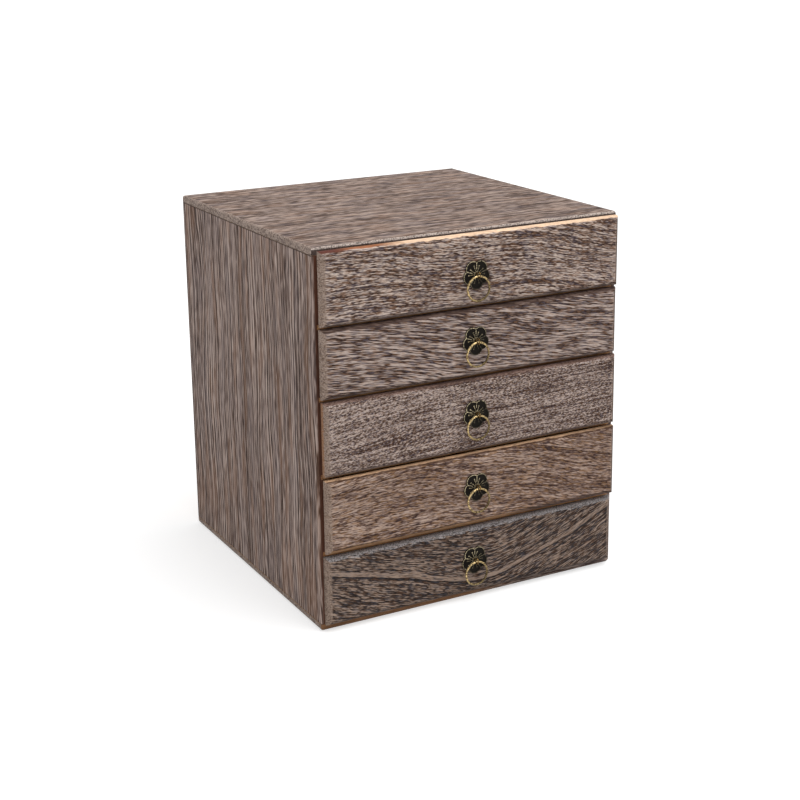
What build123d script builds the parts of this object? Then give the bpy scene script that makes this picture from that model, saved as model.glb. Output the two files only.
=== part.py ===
from build123d import *
import os

# Case boards, in millimetres
case_width = 250.0
case_depth = 240.0
case_height = 280.0
end_board = 5.5
side_board = 5.0
shelf_board = 3.5
back_board = 3.0
top_round = 2.0
bottom_round = 3.0
seam_round = 0.4
side_round = 0.8
shelf_housing = 2.0
back_rebate = 2.5
glue_gap = 0.1
shelf_set_back = 0.3

# Drawer faces, listed from the top drawer down: what each height differs from an equal share
face_extras = [0.0, -2.7, 1.5, 2.0, -0.8]
face_gaps = [1.6, 1.8, 2.4, 3.5]
ajar = [3.0, 2.0, 2.7, 3.2, 0.0]
face_board = 5.5
face_round = 4.3
shut_gap = 0.3
reveal_side = 2.8
reveal_top = 2.1
reveal_bottom = 5.2

# Drawer boxes
box_wall = 5.0
box_front_board = 4.0
box_edge_round = 0.6
bottom_board = 2.5
bottom_groove = 2.0
bottom_lift = 3.0
side_play = 0.8
run_gap = 0.3
head_room = 1.5
rear_room = 3.0

# Pulls: five-petal plate, split-pin eye and ring
pull_aside = -1.5
pull_rises = [-2.8, 1.7, 1.0, 2.1, 0.4]
petal_count = 5
petal_radius = 5.4
petal_reach = 5.4
plate_board = 0.7
rim_width = 0.55
relief = 0.4
vein_width = 0.6
vein_start = 3.6
vein_end = 8.6
stamen_width = 0.4
stamen_start = 2.2
stamen_end = 6.4
stamen_spread = 17.0
stamen_bead = 0.5
boss_radius = 2.5
pin_wire = 1.0
pin_leg_gap = 0.1
pin_hole_gap = 0.15
pin_tail = 7.0
pin_bend = 1.0
ring_wire = 1.5
ring_outer = 19.4
ring_play = 0.85
ring_rest_gap = 0.1
ring_stand_off = 3.05

# Heights that follow from the stack of faces
drawer_count = len(face_extras)
face_share = (case_height - reveal_bottom - reveal_top - sum(face_gaps) - sum(face_extras)) / drawer_count
face_heights = [face_share + extra for extra in face_extras]
face_tops = [case_height - reveal_top - sum(face_heights[:n]) - sum(face_gaps[:n]) for n in range(drawer_count)]
face_bottoms = [top - height for top, height in zip(face_tops, face_heights)]
shelf_mids = [bottom - gap / 2 for bottom, gap in zip(face_bottoms, face_gaps)]
bay_floors = [mid + shelf_board / 2 for mid in shelf_mids] + [end_board]
bay_ceilings = [case_height - end_board] + [mid - shelf_board / 2 for mid in shelf_mids]

# Planes and widths that follow from the case
front_y = -case_depth / 2
rear_y = case_depth / 2
inner_width = case_width - 2 * side_board
inner_height = case_height - 2 * end_board
box_width = inner_width - 2 * side_play
box_length = case_depth - back_board - rear_room + shut_gap
face_width = case_width - 2 * reveal_side
ring_radius = (ring_outer - ring_wire) / 2
eye_hole = ring_wire / 2 + ring_play
eye_radius = eye_hole + pin_wire / 2
ring_drop = ring_play - ring_rest_gap
pin_leg_shift = (pin_wire + pin_leg_gap) / 2
pin_hole = pin_leg_shift + pin_wire / 2 + pin_hole_gap

os.makedirs("parts", exist_ok=True)


def keep(builder, label):
    builder.part.label = label
    export_step(builder.part, f"parts/{label}.step")


def end_panel(floor, outer_face, outer_round):
    """Top or bottom board, lying over the ends of the side boards, with all its edges eased."""
    with BuildPart() as panel:
        with BuildSketch(Plane.XY.offset(floor)):
            Rectangle(case_width, case_depth)
        extrude(amount=end_board)
        fillet(panel.edges().filter_by(Axis.Z), side_round)
        fillet(panel.faces().sort_by(Axis.Z)[outer_face].edges(), outer_round)
        fillet(panel.faces().sort_by(Axis.Z)[-1 - outer_face].edges(), seam_round)
    return panel


def side_panel(hand):
    """Side board: housings for the shelves on its inner face and a rebate for the back."""
    middle_x = hand * (case_width - side_board) / 2
    inner_x = hand * inner_width / 2
    with BuildPart() as panel:
        with BuildSketch(Plane.XY.offset(end_board)):
            with Locations((middle_x, 0)):
                Rectangle(side_board, case_depth)
        extrude(amount=inner_height)
        outer_edges = panel.faces().sort_by(Axis.X)[-1 if hand > 0 else 0].edges()
        fillet(outer_edges.filter_by(Axis.Z), side_round)
        fillet(panel.faces().sort_by(Axis.X)[-1 if hand > 0 else 0].edges().filter_by(Axis.Y), seam_round)
        with BuildSketch(Plane.XY.offset(end_board)):
            with Locations((inner_x, rear_y)):
                Rectangle(2 * back_rebate, 2 * (back_board + glue_gap))
        extrude(amount=inner_height, mode=Mode.SUBTRACT)
        with BuildSketch(Plane.XZ.offset(-rear_y)):
            with Locations([(inner_x, mid) for mid in shelf_mids]):
                Rectangle(2 * shelf_housing, shelf_board + 2 * glue_gap)
        extrude(amount=case_depth, mode=Mode.SUBTRACT)
    return panel


def shelf(mid):
    """Thin board between two bays, its ends let into the side boards."""
    length = case_depth - shelf_set_back - back_board - glue_gap
    with BuildPart() as board:
        with BuildSketch(Plane.XY.offset(mid - shelf_board / 2)):
            with Locations((0, front_y + shelf_set_back + length / 2)):
                Rectangle(inner_width + 2 * (shelf_housing - glue_gap), length)
        extrude(amount=shelf_board)
    return board


def back_panel():
    """Back board, set flush in the rebates of the sides between top and bottom."""
    width = inner_width + 2 * (back_rebate - glue_gap)
    with BuildPart() as panel:
        with BuildSketch(Plane.XZ.offset(-rear_y)):
            with Locations((0, case_height / 2)):
                Rectangle(width, inner_height - 2 * glue_gap)
        extrude(amount=back_board)
    return panel


def drawer_face(face_back, bottom, height, pull_z):
    """Show board of a drawer: all edges of its front pillowed, bored for the split pin."""
    with BuildPart() as face:
        with BuildSketch(Plane.XZ.offset(-face_back)):
            with Locations((0, bottom + height / 2)):
                Rectangle(face_width, height)
        extrude(amount=face_board)
        fillet(face.faces().sort_by(Axis.Y)[0].edges(), face_round)
        with BuildSketch(Plane.XZ.offset(-face_back)):
            with Locations((pull_aside, pull_z)):
                Circle(pin_hole)
        extrude(amount=face_board, mode=Mode.SUBTRACT)
    return face


def box_front(face_back, floor, ceiling, pull_z):
    """Front wall of the box, glued behind the face, grooved for the bottom."""
    with BuildPart() as wall:
        with BuildSketch(Plane.XZ.offset(-face_back)):
            with Locations((0, (floor + ceiling) / 2)):
                Rectangle(box_width - 2 * box_wall, ceiling - floor)
            with Locations((pull_aside, pull_z)):
                Circle(pin_hole, mode=Mode.SUBTRACT)
        extrude(amount=-box_front_board)
        with BuildSketch(Plane.YZ.offset(-box_width / 2)):
            with Locations((face_back + box_front_board, floor + bottom_lift + bottom_board / 2)):
                Rectangle(2 * bottom_groove, bottom_board + 2 * glue_gap)
        extrude(amount=box_width, mode=Mode.SUBTRACT)
    return wall


def box_side(face_back, floor, ceiling, hand):
    """Side wall of the box with a groove for the bottom and an eased top edge."""
    middle_x = hand * (box_width - box_wall) / 2
    inner_x = hand * (box_width / 2 - box_wall)
    with BuildPart() as wall:
        with BuildSketch(Plane.XZ.offset(-face_back)):
            with Locations((middle_x, (floor + ceiling) / 2)):
                Rectangle(box_wall, ceiling - floor)
        extrude(amount=-box_length)
        fillet(wall.faces().sort_by(Axis.Z)[-1].edges().filter_by(Axis.Y), box_edge_round)
        with BuildSketch(Plane.XZ.offset(-face_back)):
            with Locations((inner_x, floor + bottom_lift + bottom_board / 2)):
                Rectangle(2 * bottom_groove, bottom_board + 2 * glue_gap)
        extrude(amount=-box_length, mode=Mode.SUBTRACT)
    return wall


def box_back(face_back, floor, ceiling):
    """Rear wall of the box, standing on the bottom between the side walls."""
    foot = floor + bottom_lift + bottom_board + glue_gap
    with BuildPart() as wall:
        with BuildSketch(Plane.XZ.offset(-(face_back + box_length))):
            with Locations((0, (foot + ceiling) / 2)):
                Rectangle(box_width - 2 * box_wall, ceiling - foot)
        extrude(amount=box_wall)
        fillet(wall.faces().sort_by(Axis.Z)[-1].edges().filter_by(Axis.X), box_edge_round)
    return wall


def box_bottom(face_back, floor):
    """Bottom of the box, slid into the grooves from behind and running under the rear wall."""
    let_in = bottom_groove - glue_gap
    start_y = face_back + box_front_board - let_in
    end_y = face_back + box_length
    with BuildPart() as board:
        with BuildSketch(Plane.XY.offset(floor + bottom_lift)):
            with Locations((0, (start_y + end_y) / 2)):
                Rectangle(box_width - 2 * box_wall + 2 * let_in, end_y - start_y)
        extrude(amount=bottom_board)
    return board


def pull_plate(face_front, pull_z):
    """Stamped plate: five petals with raised rims, veins, stamens with beads, and a bored boss."""
    wood = Plane((pull_aside, face_front, pull_z), x_dir=(1, 0, 0), z_dir=(0, -1, 0))
    metal = wood.offset(plate_board)
    petal_start = -90
    vein_angle = petal_start + 180 / petal_count
    with BuildPart() as plate:
        with BuildSketch(wood):
            with PolarLocations(petal_reach, petal_count, start_angle=petal_start):
                Circle(petal_radius)
        extrude(amount=plate_board)
        with BuildSketch(metal):
            with PolarLocations(petal_reach, petal_count, start_angle=petal_start):
                Circle(petal_radius)
            with PolarLocations(petal_reach, petal_count, start_angle=petal_start):
                Circle(petal_radius - rim_width, mode=Mode.SUBTRACT)
            with PolarLocations((vein_start + vein_end) / 2, petal_count, start_angle=vein_angle):
                Rectangle(vein_end - vein_start, vein_width)
            for side in (-1, 1):
                stamen_angle = petal_start + side * stamen_spread
                with PolarLocations((stamen_start + stamen_end) / 2, petal_count, start_angle=stamen_angle):
                    Rectangle(stamen_end - stamen_start, stamen_width)
                with PolarLocations(stamen_end, petal_count, start_angle=stamen_angle):
                    Circle(stamen_bead)
            Circle(boss_radius)
        extrude(amount=relief)
        with BuildSketch(wood):
            Circle(pin_hole)
        extrude(amount=plate_board + relief, mode=Mode.SUBTRACT)
    return plate


def pull_eye(face_front, face_back, eye_y, pull_z):
    """Split pin: a round eye in front of the plate, two legs through the boards, tails bent apart."""
    inside_y = face_back + box_front_board + pin_hole_gap + pin_wire / 2
    neck_y = eye_y + eye_radius
    with BuildPart() as pin:
        with Locations((pull_aside, eye_y, pull_z)):
            Torus(eye_radius, pin_wire / 2, rotation=(0, 90, 0))
        for way in (-1, 1):
            leg_z = pull_z + way * pin_leg_shift
            with BuildLine(Plane.YZ.offset(pull_aside)) as leg:
                FilletPolyline(
                    (neck_y, leg_z),
                    (inside_y, leg_z),
                    (inside_y, leg_z + way * pin_tail),
                    radius=pin_bend,
                )
            with BuildSketch(Plane((pull_aside, neck_y, leg_z), z_dir=(0, 1, 0))):
                Circle(pin_wire / 2)
            sweep(path=leg.line)
    return pin


def pull_ring(eye_y, pull_z):
    """Round-wire ring that hangs low in the eye and swings about the wire inside it."""
    with BuildPart() as ring:
        with Locations((pull_aside, eye_y, pull_z - ring_drop - ring_radius)):
            Torus(ring_radius, ring_wire / 2, rotation=(90, 0, 0))
    return ring


# Case
keep(end_panel(0, 0, bottom_round), "bottom_board")
keep(end_panel(case_height - end_board, -1, top_round), "top_board")
keep(side_panel(-1), "left_side_board")
keep(side_panel(1), "right_side_board")
keep(back_panel(), "back_board")
for number, mid in enumerate(shelf_mids, start=1):
    keep(shelf(mid), f"shelf_{number}")

# Drawers, from the top one down
for n in range(drawer_count):
    name = f"drawer_{n + 1}"
    face_back = front_y - shut_gap - ajar[n]
    face_front = face_back - face_board
    eye_y = face_front - plate_board - ring_stand_off
    floor = bay_floors[n] + run_gap
    ceiling = bay_ceilings[n] - head_room
    pull_z = face_bottoms[n] + face_heights[n] / 2 + pull_rises[n]
    keep(drawer_face(face_back, face_bottoms[n], face_heights[n], pull_z), f"{name}_face")
    keep(box_front(face_back, floor, ceiling, pull_z), f"{name}_box_front")
    keep(box_side(face_back, floor, ceiling, -1), f"{name}_left_wall")
    keep(box_side(face_back, floor, ceiling, 1), f"{name}_right_wall")
    keep(box_back(face_back, floor, ceiling), f"{name}_back_wall")
    keep(box_bottom(face_back, floor), f"{name}_bottom")
    keep(pull_plate(face_front, pull_z), f"{name}_pull_plate")
    keep(pull_eye(face_front, face_back, eye_y, pull_z), f"{name}_pull_eye")
    keep(pull_ring(eye_y, pull_z), f"{name}_pull_ring")
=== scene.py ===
import math

import bpy
from mathutils import Matrix, Vector


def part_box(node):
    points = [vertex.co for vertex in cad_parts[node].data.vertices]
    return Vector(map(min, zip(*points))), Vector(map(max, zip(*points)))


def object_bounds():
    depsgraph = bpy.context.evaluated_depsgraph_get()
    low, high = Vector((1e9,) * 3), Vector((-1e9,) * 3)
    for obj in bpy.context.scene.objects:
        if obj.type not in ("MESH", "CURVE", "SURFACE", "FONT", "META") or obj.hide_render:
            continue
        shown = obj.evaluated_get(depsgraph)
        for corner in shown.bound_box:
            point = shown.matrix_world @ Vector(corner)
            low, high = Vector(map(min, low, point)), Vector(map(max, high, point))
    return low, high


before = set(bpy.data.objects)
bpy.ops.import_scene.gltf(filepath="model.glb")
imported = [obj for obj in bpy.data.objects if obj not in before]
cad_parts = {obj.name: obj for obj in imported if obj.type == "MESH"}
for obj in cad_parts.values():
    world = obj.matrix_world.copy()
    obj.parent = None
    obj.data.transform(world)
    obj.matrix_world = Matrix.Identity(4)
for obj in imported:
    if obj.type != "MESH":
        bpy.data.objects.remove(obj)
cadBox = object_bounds()
print("cabinet: frame loaded with", len(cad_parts), "nodes")

mmPerMetre = 1000.0          # the materials measure in millimetres


def colour(red, green, blue):
    # display values 0-255 to the linear numbers that shaders use
    linear = []
    for level in (red, green, blue):
        share = level / 255
        linear.append(share / 12.92 if share <= 0.04045 else ((share + 0.055) / 1.055) ** 2.4)
    return (*linear, 1.0)


class Nodes:
    # a thin wrapper, so that a material reads as a list of steps
    def __init__(self, material):
        material.use_nodes = True
        self.tree = material.node_tree
        self.tree.nodes.clear()

    def add(self, kind, **values):
        made = self.tree.nodes.new(kind)
        for key, value in values.items():
            setattr(made, key, value)
        return made

    def plug(self, value, socket):
        if isinstance(value, bpy.types.NodeSocket):
            self.tree.links.new(value, socket)
        else:
            socket.default_value = value

    def math(self, operation, first, second=None, third=None, clamp=False):
        step = self.add("ShaderNodeMath", operation=operation, use_clamp=clamp)
        for index, value in enumerate((first, second, third)):
            if value is not None:
                self.plug(value, step.inputs[index])
        return step.outputs[0]

    def remap(self, value, low, high, toLow=0.0, toHigh=1.0, smooth=False):
        step = self.add("ShaderNodeMapRange", interpolation_type="SMOOTHSTEP" if smooth else "LINEAR")
        for socket, number in zip(step.inputs, (value, low, high, toLow, toHigh)):
            self.plug(number, socket)
        return step.outputs[0]

    def near(self, value, full, gone):
        # 1 where the value is within full of 0 on either side, fading to 0 at gone
        return self.remap(self.math("ABSOLUTE", value), full, gone, 1.0, 0.0, smooth=True)

    def cell(self, axes, sizes):
        # where to read a noise whose cells have these sizes along the three axes
        step = self.add("ShaderNodeCombineXYZ")
        for socket, axis, size in zip(step.inputs, axes, sizes):
            self.plug(self.math("DIVIDE", axis, size), socket)
        return step.outputs[0]

    def separate(self, vector):
        step = self.add("ShaderNodeSeparateXYZ")
        self.plug(vector, step.inputs[0])
        return step.outputs

    def noise(self, vector, detail=2.0, roughness=0.5, distortion=0.0):
        step = self.add("ShaderNodeTexNoise", noise_dimensions="3D")
        self.plug(vector, step.inputs["Vector"])
        step.inputs["Scale"].default_value = 1.0
        step.inputs["Detail"].default_value = detail
        step.inputs["Roughness"].default_value = roughness
        step.inputs["Distortion"].default_value = distortion
        return step.outputs["Fac"]

    def ramp(self, value, stops):
        step = self.add("ShaderNodeValToRGB")
        self.plug(value, step.inputs[0])
        band = step.color_ramp
        while len(band.elements) < len(stops):
            band.elements.new(0.5)
        for element, (place, shade) in zip(band.elements, stops):
            element.position = place
            element.color = shade
        return step.outputs[0]

    def mix(self, share, first, second):
        step = self.add("ShaderNodeMix", data_type="RGBA")
        self.plug(share, step.inputs[0])
        self.plug(first, step.inputs[6])
        self.plug(second, step.inputs[7])
        return step.outputs[2]

    def output(self, shader, kind="ShaderNodeOutputMaterial"):
        self.plug(shader.outputs[0], self.add(kind).inputs["Surface"])

    def skin(self, look, base, roughness, height):
        # the finished surface, with the look's own metal, shine and bump
        bump = self.add("ShaderNodeBump")
        bump.inputs["Strength"].default_value = look["bump"]
        bump.inputs["Distance"].default_value = look["relief"]
        self.plug(height, bump.inputs["Height"])
        shader = self.add("ShaderNodeBsdfPrincipled")
        self.plug(base, shader.inputs["Base Color"])
        self.plug(roughness, shader.inputs["Roughness"])
        self.plug(bump.outputs[0], shader.inputs["Normal"])
        shader.inputs["Metallic"].default_value = look["metallic"]
        shader.inputs["Specular IOR Level"].default_value = look["specular"]
        self.output(shader)


# Stained and brushed wood. Axes of a board: along its grain, across it on its broad side, into the wood.
grainAxes = {"alongX": (0, 2, 1), "alongZ": (2, 1, 0), "flatX": (0, 1, 2), "alongY": (1, 2, 0)}
sides = {"right": (0, 1), "left": (0, -1), "back": (1, 1), "front": (1, -1), "top": (2, 1), "bottom": (2, -1)}

# lengths in mm unless a note says otherwise
stainedWood = {
    "axes": "alongX",
    "seed": 0.0,
    "seedShift": (1.0, 3.7, 7.3),
    "slope": 0.0,            # fall of the grain to the right, mm per mm
    "bow": 0.0,              # how that fall grows to the right
    "valleySlope": 0.0,      # a V of grain lines with a round foot
    "valleyRound": 30.0,
    "valleyCentre": 0.0,
    "knot": None,            # (along, across, half length, half width, lift)
    "waveHeight": 0.7,       # how far the lines wander to either side
    "waveLength": 14.0,
    "waveDepth": 7.0,
    "driftHeight": 4.5,      # the same, over the whole board
    "driftSize": (80.0, 30.0, 30.0),
    "dashLength": 4.5,       # pores opened by the brush
    "dashHeight": 0.62,
    "dashWeight": 0.75,
    "fibreShare": (0.7, 0.36),    # length and height of a fibre as shares of a dash
    "fibreWeight": 0.35,
    "hairLength": 16.0,      # thin dark lines that join and part along the grain
    "hairHeight": 1.6,
    "hairDepth": 3.0,
    "hairWidth": 0.11,       # in noise levels, as are the ring's width and the hue levels
    "hairWeight": 0.32,
    "hairMean": 0.42,        # so that more hair weight leaves the board about as light as it was
    "streakLength": 24.0,
    "streakHeight": 1.0,
    "streakDepth": 4.0,
    "streakWeight": 0.45,
    "ringLength": 300.0,     # long dark growth rings
    "ringSpacing": 5.5,
    "ringDepth": 30.0,
    "ringWidth": 0.04,
    "ringWeight": 0.1,
    "rows": 0.0,             # how strongly the pores stand in rows
    "rowSpacing": 2.6,
    "rowWeight": 0.13,
    "patchSize": (34.0, 9.0, 20.0),
    "patchWeight": 0.12,
    "contrast": 2.3,
    "paleBand": None,        # (line, half width) of a smooth light growth band
    "fade": 0.0,             # how much darker the face gets to the right, a painted shade as of light falling from the left
    "light": (198, 180, 168),
    "mid": (132, 112, 101),
    "brown": (95, 73, 62),
    "dark": (46, 26, 17),
    "warm": (148, 110, 84),  # where the stain is thin
    "warmShare": 0.7,
    "cool": (92, 86, 98),    # where it has greyed
    "coolShare": 0.8,
    "hueLength": 5.0,
    "hueHeight": 1.3,
    "hueDepth": 9.0,
    "hueLevels": (0.02, 0.16),
    "endLight": (162, 142, 128),
    "endDark": (104, 84, 71),
    "endLevels": (0.34, 0.6),     # of the grit
    "endReach": 0.14,        # how far a surface has to turn toward a cut end
    "endSoft": 0.4,
    "endRagged": 0.3,
    "endAmount": 0.75,
    "gritSize": (1.1, 1.0, 1.0),
    "raggedSize": (6.0, 1.2, 1.2),
    "seams": [],             # (axis, place, half width, depth)
    "seamCore": 0.3,         # share of its half width where a seam is darkest
    "tints": [],             # sides where the stain is thin, thick or worn off, and where shade is painted in
    "roughness": (0.86, 0.64),    # in the dark grain and on the light
    "metallic": 0.0,
    "specular": 0.3,
    "bump": 0.9,
    "relief": 0.00022,       # metres
}
noiseStretch = 1.5           # a noise seldom reaches the ends of its range

# what a tint does where its own row says nothing else; it also has a side, a colour and a reach,
# which is how far a surface has to turn toward that side
plainTint = {
    "ragged": 0.3,
    "soft": 0.07,
    "amount": 1.0,
    "grain": 0.35,           # how much darker it is in the grain, down to the shadow
    "shadow": 0.55,
    "dots": False,           # follows the pores of a cut end and not the grain
    "dotLevels": (0.36, 0.62),
    "axis": 0,               # along this axis it starts, and is full at stop
    "start": None,
}

# a light growth band fades between two shares of its half width, and a dark line runs under it
bandShape = {
    "full": 0.7,
    "gone": 1.2,
    "grain": 0.4,            # how much of the grain shows in it
    "lift": 0.18,
    "lineFull": 0.2,         # mm
    "lineGone": 1.1,
    "lineDark": 0.4,
}


def grainLine(n, look, board, along):
    # the line of grain through each point, as its height across the board
    depth = look["waveDepth"]
    wander = n.noise(n.cell(board, (look["waveLength"], depth, depth)), detail=1.0)
    drift = n.noise(n.cell(board, look["driftSize"]), detail=0.0)
    line = board[1]
    for swing, height in ((wander, look["waveHeight"]), (drift, look["driftHeight"])):
        line = n.math("MULTIPLY_ADD", n.math("SUBTRACT", swing, 0.5), height * 2.0, line)
    line = n.math("MULTIPLY_ADD", along, look["slope"], line)
    if look["bow"]:
        line = n.math("MULTIPLY_ADD", n.math("MULTIPLY", along, along), look["bow"], line)
    if look["valleySlope"]:
        away = n.math("SUBTRACT", along, look["valleyCentre"])
        reach = n.math("SQRT", n.math("MULTIPLY_ADD", away, away, look["valleyRound"] ** 2))
        rise = n.math("SUBTRACT", reach, look["valleyRound"])
        line = n.math("MULTIPLY_ADD", rise, -look["valleySlope"], line)
    return line


def knotLift(n, look, along, across, line):
    # lines bulge round a knot that lies just below the surface
    centreAlong, centreAcross, halfLength, halfWidth, lift = look["knot"]
    farAlong = n.math("DIVIDE", n.math("SUBTRACT", along, centreAlong), halfLength)
    farAcross = n.math("DIVIDE", n.math("SUBTRACT", across, centreAcross), halfWidth)
    far = n.math("MULTIPLY_ADD", farAlong, farAlong, n.math("MULTIPLY_ADD", farAcross, farAcross, 1.0))
    return n.math("ADD", line, n.math("DIVIDE", lift, far))


def grainLevel(n, look, grain, line):
    # how light the grain is, with 0 about in the middle
    long, high = look["dashLength"], look["dashHeight"]
    fineLong, fineHigh = long * look["fibreShare"][0], high * look["fibreShare"][1]
    dash = grain(long, high, high, 1.0, roughness=0.5, distortion=0.2)
    fibre = grain(fineLong, fineHigh, fineHigh, 0.0)
    hair = grain(look["hairLength"], look["hairHeight"], look["hairDepth"], 1.0)
    streak = grain(look["streakLength"], look["streakHeight"], look["streakDepth"], 1.0)
    ring = grain(look["ringLength"], look["ringSpacing"], look["ringDepth"], 0.0)
    clear = n.math("SUBTRACT", look["hairMean"], n.near(hair, 0.0, look["hairWidth"]))
    parts = [
        (dash, noiseStretch * look["dashWeight"]),
        (fibre, look["fibreWeight"] * look["dashWeight"]),
        (clear, look["hairWeight"]),
    ]
    if look["rows"]:
        wave = n.math("SINE", n.math("MULTIPLY", line, 2 * math.pi / look["rowSpacing"]))
        parts.append((wave, look["rowWeight"] * look["rows"]))
    parts += [
        (streak, noiseStretch * look["streakWeight"]),
        (grain(*look["patchSize"], 1.0), look["patchWeight"]),
        (n.near(ring, 0.0, look["ringWidth"]), -look["ringWeight"]),
    ]
    level = 0.0
    for part, weight in parts:
        level = n.math("MULTIPLY_ADD", part, weight, level)
    return level


def lightBand(n, look, line, level):
    bandLine, bandHalf = look["paleBand"]
    full, gone = bandHalf * bandShape["full"], bandHalf * bandShape["gone"]
    away = n.math("SUBTRACT", n.math("SUBTRACT", line, look["seed"] * look["seedShift"][1]), bandLine)
    band = n.near(away, full, gone)
    darkLine = n.near(n.math("ADD", away, gone), bandShape["lineFull"], bandShape["lineGone"])
    level = n.math("MULTIPLY", level, n.remap(band, 0.0, 1.0, 1.0, bandShape["grain"]))
    level = n.math("MULTIPLY_ADD", band, bandShape["lift"], level)
    return n.math("MULTIPLY_ADD", darkLine, -bandShape["lineDark"], level)


def stainColour(n, look, level, hue):
    # three shades of the same stain: plain, warm where it is thin, cool where it has greyed
    stops = ((0.0, "dark"), (0.3, "brown"), (0.55, "mid"), (1.0, "light"))
    plain = n.ramp(level, [(place, colour(*look[shade])) for place, shade in stops])
    start, full = look["hueLevels"]
    surface = plain
    for shade, sign in (("warm", 1), ("cool", -1)):
        tinted = n.mix(0.5, plain, colour(*look[shade]))
        mask = n.remap(hue, sign * start, sign * full, 0.0, look[f"{shade}Share"], smooth=True)
        surface = n.mix(mask, surface, tinted)
    return surface


def seamLine(n, look, seam, spot, ragged, surface):
    axis, centre, half, depth = seam
    off = n.math("ABSOLUTE", n.math("SUBTRACT", spot[axis], centre))
    off = n.math("MULTIPLY_ADD", ragged, half, off)
    mask = n.remap(off, half * look["seamCore"], half, depth, 0.0, smooth=True)
    return n.mix(mask, surface, colour(*look["dark"]))


def edgeTint(n, row, spot, facing, ragged, level, grit, surface):
    tint = {**plainTint, **row}
    axis, sign = sides[tint["side"]]
    low, high = tint["reach"] - tint["soft"], tint["reach"] + tint["soft"]
    toward = n.math("MULTIPLY_ADD", facing[axis], sign, n.math("MULTIPLY", ragged, tint["ragged"]))
    mask = n.remap(toward, low, high, 0.0, tint["amount"], smooth=True)
    if tint["start"] is not None:
        reached = n.remap(spot[tint["axis"]], tint["start"], tint["stop"], smooth=True)
        mask = n.math("MULTIPLY", mask, reached)
    pattern = n.remap(grit, *tint["dotLevels"]) if tint["dots"] else level
    shadow = colour(*(tint["shadow"] * part for part in tint["colour"]))
    shade = n.mix(n.remap(pattern, 0.0, 1.0, tint["grain"], 0.0), colour(*tint["colour"]), shadow)
    return n.mix(mask, surface, shade)


def brushedWood(name, **changes):
    look = {**stainedWood, **changes}
    material = bpy.data.materials.new(name)
    n = Nodes(material)
    coords = n.add("ShaderNodeTexCoord")
    spot = [n.math("MULTIPLY", value, mmPerMetre) for value in n.separate(coords.outputs["Object"])]
    facing = n.separate(coords.outputs["Normal"])
    order = grainAxes[look["axes"]]
    board = [n.math("ADD", spot[axis], look["seed"] * shift) for axis, shift in zip(order, look["seedShift"])]
    line = grainLine(n, look, board, spot[order[0]])
    if look["knot"]:
        line = knotLift(n, look, spot[order[0]], spot[order[1]], line)

    def grain(length, height, depth, detail, roughness=0.6, distortion=0.0):
        cell = n.cell((board[0], line, board[2]), (length, height, depth))
        return n.math("SUBTRACT", n.noise(cell, detail, roughness, distortion), 0.5)

    level = grainLevel(n, look, grain, line)
    if look["paleBand"]:
        level = lightBand(n, look, line, level)
    if look["fade"]:
        level = n.math("MULTIPLY_ADD", spot[0], -look["fade"], level)
    level = n.math("MULTIPLY_ADD", level, look["contrast"], 0.5, clamp=True)
    hue = grain(look["hueLength"], look["hueHeight"], look["hueDepth"], 1.0)
    surface = stainColour(n, look, level, hue)

    # cut ends show their pores as fine dots, also where an edge is rounded over
    grit = n.noise(n.cell(board, look["gritSize"]), detail=1.0, roughness=0.6)
    shades = (colour(*look["endDark"]), colour(*look["endLight"]))
    endWood = n.ramp(grit, list(zip(look["endLevels"], shades)))
    towardEnd = n.math("MULTIPLY_ADD", grit, look["endRagged"], n.math("ABSOLUTE", facing[order[0]]))
    low, high = look["endReach"], look["endReach"] + look["endSoft"]
    endMask = n.remap(towardEnd, low, high, 0.0, look["endAmount"], smooth=True)
    surface = n.mix(endMask, surface, endWood)

    ragged = n.math("SUBTRACT", n.noise(n.cell(board, look["raggedSize"]), detail=2.0), 0.5)
    for seam in look["seams"]:
        surface = seamLine(n, look, seam, spot, ragged, surface)
    for row in look["tints"]:
        surface = edgeTint(n, row, spot, facing, ragged, level, grit, surface)
    n.skin(look, surface, n.remap(level, 0.0, 1.0, *look["roughness"]), n.mix(endMask, level, grit))
    return material


# Bare sanded wood of the drawer boxes, shelves and back
bareWood = {
    "pale": (214, 174, 132),
    "dark": (184, 138, 96),
    "levels": (0.3, 0.62),   # of the grain, at which it is dark and pale
    "grainLength": 40.0,     # mm
    "grainHeight": 1.4,
    "broadSize": (160.0, 9.0, 9.0),
    "broadWeight": 0.8,
    "roughness": (0.75, 0.6),
    "metallic": 0.0,
    "specular": 0.3,
    "bump": 0.6,
    "relief": 0.0001,        # metres
}


def plainWood(name, axes, **changes):
    look = {**bareWood, **changes}
    material = bpy.data.materials.new(name)
    n = Nodes(material)
    spot = n.separate(n.add("ShaderNodeTexCoord").outputs["Object"])
    board = [n.math("MULTIPLY", spot[axis], mmPerMetre) for axis in grainAxes[axes]]
    long, high = look["grainLength"], look["grainHeight"]
    fine = n.noise(n.cell(board, (long, high, high)), detail=3.0, roughness=0.6)
    broad = n.noise(n.cell(board, look["broadSize"]), detail=1.0)
    level = n.math("MULTIPLY_ADD", n.math("SUBTRACT", broad, 0.5), look["broadWeight"], fine)
    shades = (colour(*look["dark"]), colour(*look["pale"]))
    surface = n.ramp(level, list(zip(look["levels"], shades)))
    n.skin(look, surface, n.remap(level, 0.2, 0.8, *look["roughness"]), fine)
    return material
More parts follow.
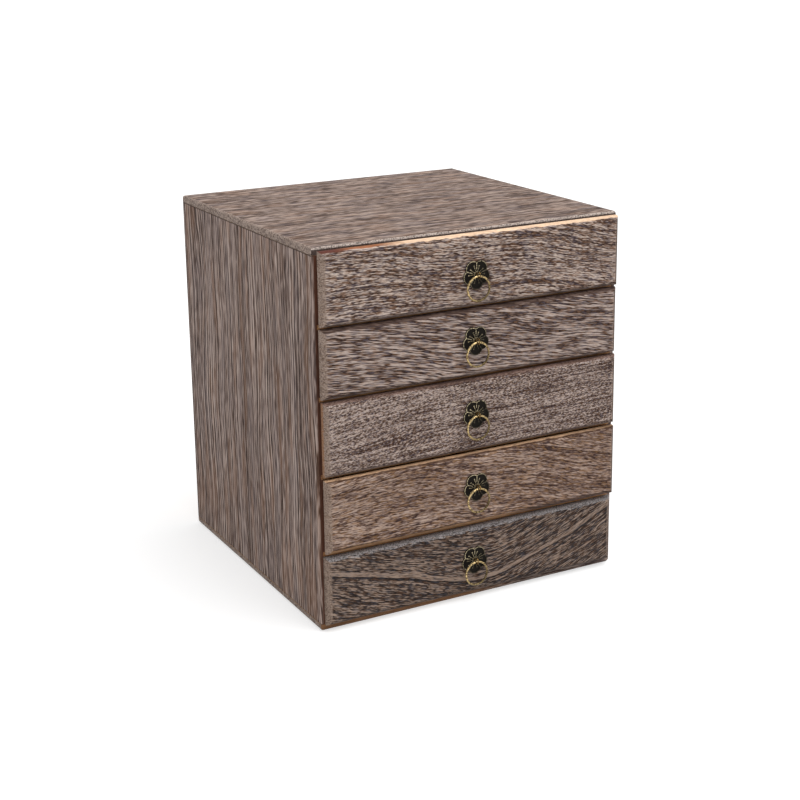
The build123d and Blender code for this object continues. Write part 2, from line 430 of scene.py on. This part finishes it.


# Darkened metal of the pulls, rubbed bright in patches and on the raised lines, with a painted highlight
# toward the upper left
pinLook = {
    "dark": (34, 27, 19),
    "bright": (150, 118, 70),
    "share": 0.5,            # how much of it is rubbed bright
    "wornLevels": (0.62, 0.86),
    "roughness": (0.55, 0.32),    # dark, rubbed bright
    "metallic": 0.9,
    "specular": 0.5,
    "bump": 0.5,
    "relief": 0.00008,       # metres
}
plateLook = {
    **pinLook,
    "dark": (26, 23, 19),
    "bright": (188, 174, 142),
    "share": 0.52,
    "roughness": (0.57, 0.34),
    "lineDepth": 0.00035,    # metres below the raised lines where the rubbing stops
    "wearShineFrom": -7.0,         # mm toward the upper left where the painted highlight and wear start
    "wearShineTo": 9.0,            # and where it is full
    "wearShineLeast": 0.12,        # what is left of it before it starts
}
ringLook = {
    **pinLook,
    "dark": (42, 32, 18),
    "bright": (220, 192, 138),
    "share": 0.54,
    "roughness": (0.47, 0.24),
    "wearShineFrom": -14.0,
    "wearShineTo": 10.0,
    "wearShineLeast": 0.12,
}
diagonalScale = 707.0        # metres up and to the left, added up, to mm along the diagonal


def agedMetal(name, look, centre=None, lineFront=None):
    material = bpy.data.materials.new(name)
    n = Nodes(material)
    place = n.add("ShaderNodeTexCoord").outputs["Object"]
    inMm = n.add("ShaderNodeVectorMath", operation="SCALE")
    n.plug(place, inMm.inputs[0])
    inMm.inputs["Scale"].default_value = mmPerMetre
    blotch = n.noise(inMm.outputs[0], detail=3.0, roughness=0.65)
    low, high = (edge - look["share"] / 2 for edge in look["wornLevels"])
    wearAndShine = n.remap(blotch, low, high, smooth=True)
    spot = n.separate(place)
    if centre is not None:
        # a painted highlight, with some wear, growing toward the upper left of the centre
        up = n.math("SUBTRACT", spot[2], centre[2])
        toRight = n.math("SUBTRACT", spot[0], centre[0])
        upLeft = n.math("MULTIPLY", n.math("SUBTRACT", up, toRight), diagonalScale)
        wearShine = n.remap(upLeft, look["wearShineFrom"], look["wearShineTo"], look["wearShineLeast"], 1.0, smooth=True)
        wearAndShine = n.math("MULTIPLY", wearAndShine, wearShine)
    if lineFront is not None:
        raised = n.remap(spot[1], lineFront, lineFront + look["lineDepth"], 1.0, 0.0)
        wearAndShine = n.math("MULTIPLY", wearAndShine, raised)
    surface = n.mix(wearAndShine, colour(*look["dark"]), colour(*look["bright"]))
    n.skin(look, surface, n.remap(wearAndShine, 0.0, 1.0, *look["roughness"]), blotch)
    return material


def dress(nodeName, material):
    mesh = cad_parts[nodeName].data
    mesh.materials.clear()
    mesh.materials.append(material)


# Boards of the case, in mm
caseTop = cadBox[1][2] * mmPerMetre
endBoard = 5.5               # thickness of the top and bottom boards
shelfCount = 4
bareTint = {"reach": 0.6, "colour": (206, 160, 114), "grain": 0.3}
sideLook = {
    "axes": "alongZ",
    "knot": (226.0, 88.0, 46.0, 13.0, 6.0),
    "waveHeight": 0.3, "waveLength": 60.0,
    "dashLength": 14.0, "dashHeight": 1.0,
    "hairLength": 140.0, "hairHeight": 5.0, "hairWeight": 0.12,
    "streakLength": 300.0, "streakHeight": 1.2, "streakWeight": 0.8,
    "rows": 0.9, "rowSpacing": 4.3,
    "patchWeight": 0.04,
    "contrast": 2.15,
    "light": (180, 160, 150), "mid": (124, 104, 95), "brown": (94, 74, 65), "dark": (44, 27, 20),
    "warm": (144, 106, 80), "warmShare": 0.6, "cool": (112, 100, 101), "coolShare": 0.5,
    "hueLength": 80.0, "hueHeight": 9.0,
    "seams": [
        (2, endBoard, 0.9, 0.8),
        (2, caseTop - endBoard, 0.9, 0.8),
        (1, 30.0, 0.8, 0.45),
        (1, -94.0, 0.8, 0.35),
        (1, 118.0, 5.0, 0.3),
    ],
}
leftSideLook = {
    **sideLook,
    "tints": [
        {"side": "right", **bareTint},
        # painted shade of the crevice beside the drawer ends, darkening the inner part of the front edge,
        # with some dark stain
        {"side": "front", "reach": 0.6, "colour": (92, 56, 40), "grain": 0.5,
         "start": -124.0, "stop": -122.8},
    ],
}
rightSideLook = {
    **sideLook,
    "seed": 31.0,
    "contrast": 1.3,
    "tints": [{"side": "left", **bareTint}],
}
topLook = {
    "axes": "flatX",
    "seed": 11.0,
    "waveHeight": 0.8,
    "dashLength": 9.0, "dashHeight": 1.3, "dashWeight": 0.95,
    "hairLength": 30.0, "hairHeight": 4.0, "hairWeight": 0.2,
    "streakLength": 70.0, "streakHeight": 4.0, "streakWeight": 0.6,
    "patchWeight": 0.3,
    "contrast": 1.8,
    "light": (166, 145, 133), "mid": (119, 100, 89), "brown": (94, 74, 64), "dark": (52, 34, 27),
    "warmShare": 0.4, "coolShare": 0.4,
    "hueLength": 30.0, "hueHeight": 8.0,
    "endLight": (172, 154, 142), "endDark": (78, 61, 52),
    "seams": [(2, caseTop - endBoard, 0.7, 0.7)],
    "tints": [
        {"side": "front", "reach": 0.45, "ragged": 0.7, "colour": (196, 180, 170), "grain": 1.0,
         "dots": True},
        # a painted shadow along the lower front edge, where the top board meets the gap over the top drawer
        {"side": "front", "reach": 0.75, "ragged": 0.6, "colour": (58, 38, 32), "amount": 0.9,
         "axis": 2, "start": caseTop - 1.4, "stop": caseTop - 2.0},
        {"side": "bottom", **bareTint},
    ],
}
bottomLook = {
    **topLook,
    "seed": 23.0,
    "mid": (112, 96, 88),
    "seams": [(2, endBoard, 0.7, 0.7)],
    "tints": [
        {"side": "top", **bareTint},
        {"side": "front", "reach": 0.2, "ragged": 0.6, "colour": (132, 94, 64),
         "start": 40.0, "stop": -10.0},
    ],
}

dress("left_side_board", brushedWood("sideBoardLeft", **leftSideLook))
dress("right_side_board", brushedWood("sideBoardRight", **rightSideLook))
dress("top_board", brushedWood("topBoard", **topLook))
dress("bottom_board", brushedWood("bottomBoard", **bottomLook))
rawShelf = plainWood("shelfWood", "flatX", pale=(182, 136, 92), dark=(140, 96, 60))
dress("back_board", plainWood("backBoardWood", "alongZ"))
for number in range(1, shelfCount + 1):
    dress(f"shelf_{number}", rawShelf)
print("cabinet: case boards finished")

# Drawers, from the top one down
faceLooks = [
    {
        "seed": 2.0,
        "slope": 0.105, "bow": 0.0004,
        "dashLength": 3.6, "dashHeight": 0.58,
        "ringWeight": 0.2,
        "rows": 0.4, "rowSpacing": 4.2,
        "patchWeight": 0.25,
        "fade": 0.0001,
        "tints": [
            {"side": "top", "reach": 0.82, "ragged": 0.4, "colour": (156, 98, 62)},
            {"side": "top", "reach": 0.72, "ragged": 0.5, "colour": (250, 212, 178),
             "start": -80.0, "stop": -50.0},
            # painted shadow on the left part of the top edge, under the top board
            {"side": "top", "reach": 0.72, "colour": (92, 42, 28), "start": -95.0, "stop": -112.0},
        ],
    },
    {
        "seed": 5.0,
        "slope": 0.158,
        "dashLength": 6.5,
        "hairLength": 26.0, "hairWeight": 0.42,
        "ringWeight": 0.18,
        "patchWeight": 0.2,
        "fade": 0.0001,
        "light": (184, 166, 156), "mid": (118, 99, 90), "brown": (85, 65, 56), "dark": (40, 22, 14),
        "tints": [
            # painted shade along the top edge, in the gap under the drawer above
            {"side": "top", "reach": 0.5, "ragged": 0.5, "colour": (98, 74, 64), "grain": 0.7,
             "amount": 0.85},
        ],
    },
    {
        "seed": 9.0,
        "slope": -0.026, "bow": 0.0002,
        "waveHeight": 0.35,
        "dashLength": 1.9, "dashHeight": 0.6, "dashWeight": 1.1,
        "hairLength": 70.0, "hairHeight": 4.0, "hairWeight": 0.2,
        "streakLength": 50.0, "streakWeight": 0.14,
        "ringWeight": 0.22,
        "rows": 0.4,
        "patchWeight": 0.2,
        "contrast": 1.9,
        "fade": 0.0003,
        "light": (188, 170, 160), "mid": (128, 110, 100), "brown": (94, 74, 65),
        "warmShare": 0.4,
        "hueLength": 3.0,
        "tints": [
            # painted shade along the top edge, in the gap under the drawer above
            {"side": "top", "reach": 0.62, "ragged": 0.6, "colour": (120, 90, 78), "grain": 0.8,
             "amount": 0.85},
            {"side": "left", "reach": 0.93, "colour": (150, 104, 68), "amount": 0.8},
        ],
    },
    {
        "seed": 13.0,
        "slope": 0.11, "bow": 0.0008,
        "dashLength": 3.4, "dashHeight": 0.52,
        "ringWeight": 0.22,
        "patchWeight": 0.25,
        "contrast": 1.7,
        "fade": 0.0002,
        "light": (180, 156, 141), "mid": (122, 99, 86), "brown": (94, 68, 55),
        "warm": (150, 112, 76), "warmShare": 0.9, "coolShare": 0.3,
        "tints": [
            {"side": "top", "reach": 0.68, "ragged": 0.4, "colour": (76, 48, 30), "amount": 0.85},
            {"side": "top", "reach": 0.9, "colour": (234, 190, 150), "start": 190.0, "stop": 60.0},
            # painted shade on the lower rounding, over the dark gap to the bottom drawer
            {"side": "bottom", "reach": 0.16, "ragged": 0.4, "colour": (80, 56, 46), "grain": 1.0,
             "amount": 0.8},
            {"side": "bottom", "reach": 0.3, "colour": (152, 115, 80), "grain": 0.6,
             "start": 60.0, "stop": 10.0},
        ],
    },
    {
        "seed": 17.0,
        "slope": -0.07, "valleySlope": 0.36, "valleyCentre": 15.0,
        "dashLength": 4.0,
        "contrast": 2.2,
        "paleBand": (15.5, 2.0),
        "light": (152, 131, 116), "mid": (58, 43, 36), "brown": (40, 26, 20), "dark": (18, 8, 5),
        "warm": (100, 68, 46), "cool": (80, 80, 90), "coolShare": 0.6,
        "tints": [
            {"side": "top", "reach": 0.42, "ragged": 1.3, "colour": (172, 166, 166), "grain": 1.0,
             "amount": 0.8, "dots": True},
            {"side": "bottom", "reach": 0.75, "colour": (140, 96, 60), "start": 20.0, "stop": -40.0},
        ],
    },
]
# every face also gets painted shade at its lower edge and its right end
underEdgeShade = {"side": "bottom", "reach": 0.45, "ragged": 0.5, "colour": (84, 68, 60), "grain": 0.6,
             "amount": 0.65}
rightEndShade = {"side": "right", "reach": 0.35, "colour": (90, 72, 62), "grain": 0.5}

wallWood = plainWood("drawerWallWood", "alongY")
crossWood = plainWood("drawerCrossWood", "alongX")
floorWood = plainWood("drawerFloorWood", "flatX", pale=(214, 172, 128))
boxWoods = {
    "left_wall": wallWood,
    "right_wall": wallWood,
    "box_front": crossWood,
    "back_wall": crossWood,
    "bottom": floorWood,
}
pinMetal = agedMetal("splitPinMetal", pinLook)


def middle(box):
    low, high = box
    return [(first + last) / 2 for first, last in zip(low, high)]


for number, look in enumerate(faceLooks, start=1):
    drawer = f"drawer_{number}"
    faceLook = {**look, "tints": [underEdgeShade, *look["tints"], rightEndShade]}
    dress(f"{drawer}_face", brushedWood(f"faceWood{number}", **faceLook))
    for board, wood in boxWoods.items():
        dress(f"{drawer}_{board}", wood)
    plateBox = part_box(f"{drawer}_pull_plate")
    plateFront = plateBox[0][1]
    plateMetal = agedMetal(f"plateMetal{number}", plateLook, middle(plateBox), plateFront)
    dress(f"{drawer}_pull_plate", plateMetal)
    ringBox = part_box(f"{drawer}_pull_ring")
    dress(f"{drawer}_pull_ring", agedMetal(f"ringMetal{number}", ringLook, middle(ringBox)))
    dress(f"{drawer}_pull_eye", pinMetal)
print("cabinet: drawers and pulls finished")

# Floor, light and camera
studio = {
    "ambient": 0.80,         # even light from all round
    "keyPower": 1.7,
    "keyAngle": 50.0,        # degrees across; wide for soft shadows
    "keyTurn": 40.0,         # degrees to the right of straight ahead
    "keyHeight": 60.0,       # degrees above the floor
    "floorSize": 12.0,       # metres from the middle to each side
    "floorTones": (0.54, 0.56),
    "floorGlow": 0.55,       # what the camera sees on top of the lit paper, so that it stays white
}


def addObject(name, data):
    made = bpy.data.objects.new(name, data)
    bpy.context.scene.collection.objects.link(made)
    return made


def seenBy(n, *rays):
    # 1 for what the camera sees, straight or by one of these rays
    path = n.add("ShaderNodeLightPath")
    seen = path.outputs["Is Camera Ray"]
    for ray in rays:
        seen = n.math("MAXIMUM", seen, path.outputs[ray])
    return seen


def makeFloor():
    size = studio["floorSize"]
    mesh = bpy.data.meshes.new("floor")
    corners = [(-size, -size, 0), (size, -size, 0), (size, size, 0), (-size, size, 0)]
    mesh.from_pydata(corners, [], [(0, 1, 2, 3)])
    floor = addObject("floor", mesh)
    material = bpy.data.materials.new("floorPaper")
    n = Nodes(material)
    paper = n.add("ShaderNodeBsdfPrincipled")
    tint = n.noise(n.add("ShaderNodeTexCoord").outputs["Object"], detail=2.0)
    darker, lighter = ((tone, tone, tone, 1) for tone in studio["floorTones"])
    n.plug(n.ramp(tint, [(0.3, darker), (0.7, lighter)]), paper.inputs["Base Color"])
    paper.inputs["Roughness"].default_value = 0.9
    paper.inputs["Specular IOR Level"].default_value = 0.0
    glow = n.add("ShaderNodeEmission")
    seen = seenBy(n, "Is Glossy Ray")
    n.plug(n.math("MULTIPLY", seen, studio["floorGlow"]), glow.inputs["Strength"])
    both = n.add("ShaderNodeAddShader")
    n.plug(paper.outputs[0], both.inputs[0])
    n.plug(glow.outputs[0], both.inputs[1])
    n.output(both)
    mesh.materials.append(material)


def makeWorld():
    world = bpy.data.worlds.new("studio")
    bpy.context.scene.world = world
    n = Nodes(world)
    seen = seenBy(n, "Is Glossy Ray", "Is Transmission Ray")
    back = n.add("ShaderNodeBackground")
    back.inputs["Color"].default_value = (1, 1, 1, 1)
    n.plug(n.remap(seen, 0.0, 1.0, studio["ambient"], 1.0), back.inputs["Strength"])
    n.output(back, "ShaderNodeOutputWorld")


def makeKey():
    lamp = bpy.data.lights.new("key", "SUN")
    lamp.energy = studio["keyPower"]
    lamp.angle = math.radians(studio["keyAngle"])
    key = addObject("key", lamp)
    turn, rise = math.radians(studio["keyTurn"]), math.radians(studio["keyHeight"])
    toLamp = Vector((math.sin(turn) * math.cos(rise), -math.cos(turn) * math.cos(rise), math.sin(rise)))
    key.rotation_euler = toLamp.to_track_quat("Z", "Y").to_euler()


# where the camera stands in metres, its turns in degrees and its lens in mm
view = {
    "place": (-0.5559, -1.04684, 0.4949),
    "azimuth": -27.673,
    "elevation": 14.942,
    "roll": -0.935,
    "lens": 70.19,
    "sensor": 36.0,
    "shiftX": 0.01875,       # shares of the picture
    "shiftY": -0.0875,
    "nearest": 0.05,         # metres
}


def makeCamera():
    lens = bpy.data.cameras.new("camera")
    lens.sensor_width = view["sensor"]
    lens.lens = view["lens"]
    lens.shift_x = view["shiftX"]
    lens.shift_y = view["shiftY"]
    lens.clip_start = view["nearest"]
    camera = addObject("camera", lens)
    azimuth, elevation, roll = (math.radians(view[key]) for key in ("azimuth", "elevation", "roll"))
    back = Vector((math.sin(azimuth) * math.cos(elevation), -math.cos(azimuth) * math.cos(elevation),
                   math.sin(elevation)))
    right = (-back).cross(Vector((0, 0, 1))).normalized()
    up = back.cross(right)
    rolledRight = right * math.cos(roll) + up * math.sin(roll)
    rolledUp = up * math.cos(roll) - right * math.sin(roll)
    turn = Matrix((rolledRight, rolledUp, back)).transposed().to_4x4()
    camera.matrix_world = Matrix.Translation(view["place"]) @ turn
    bpy.context.scene.camera = camera


makeFloor()
makeWorld()
makeKey()
makeCamera()
bpy.context.scene.view_settings.view_transform = "Standard"
print("cabinet: stage, light and camera set")
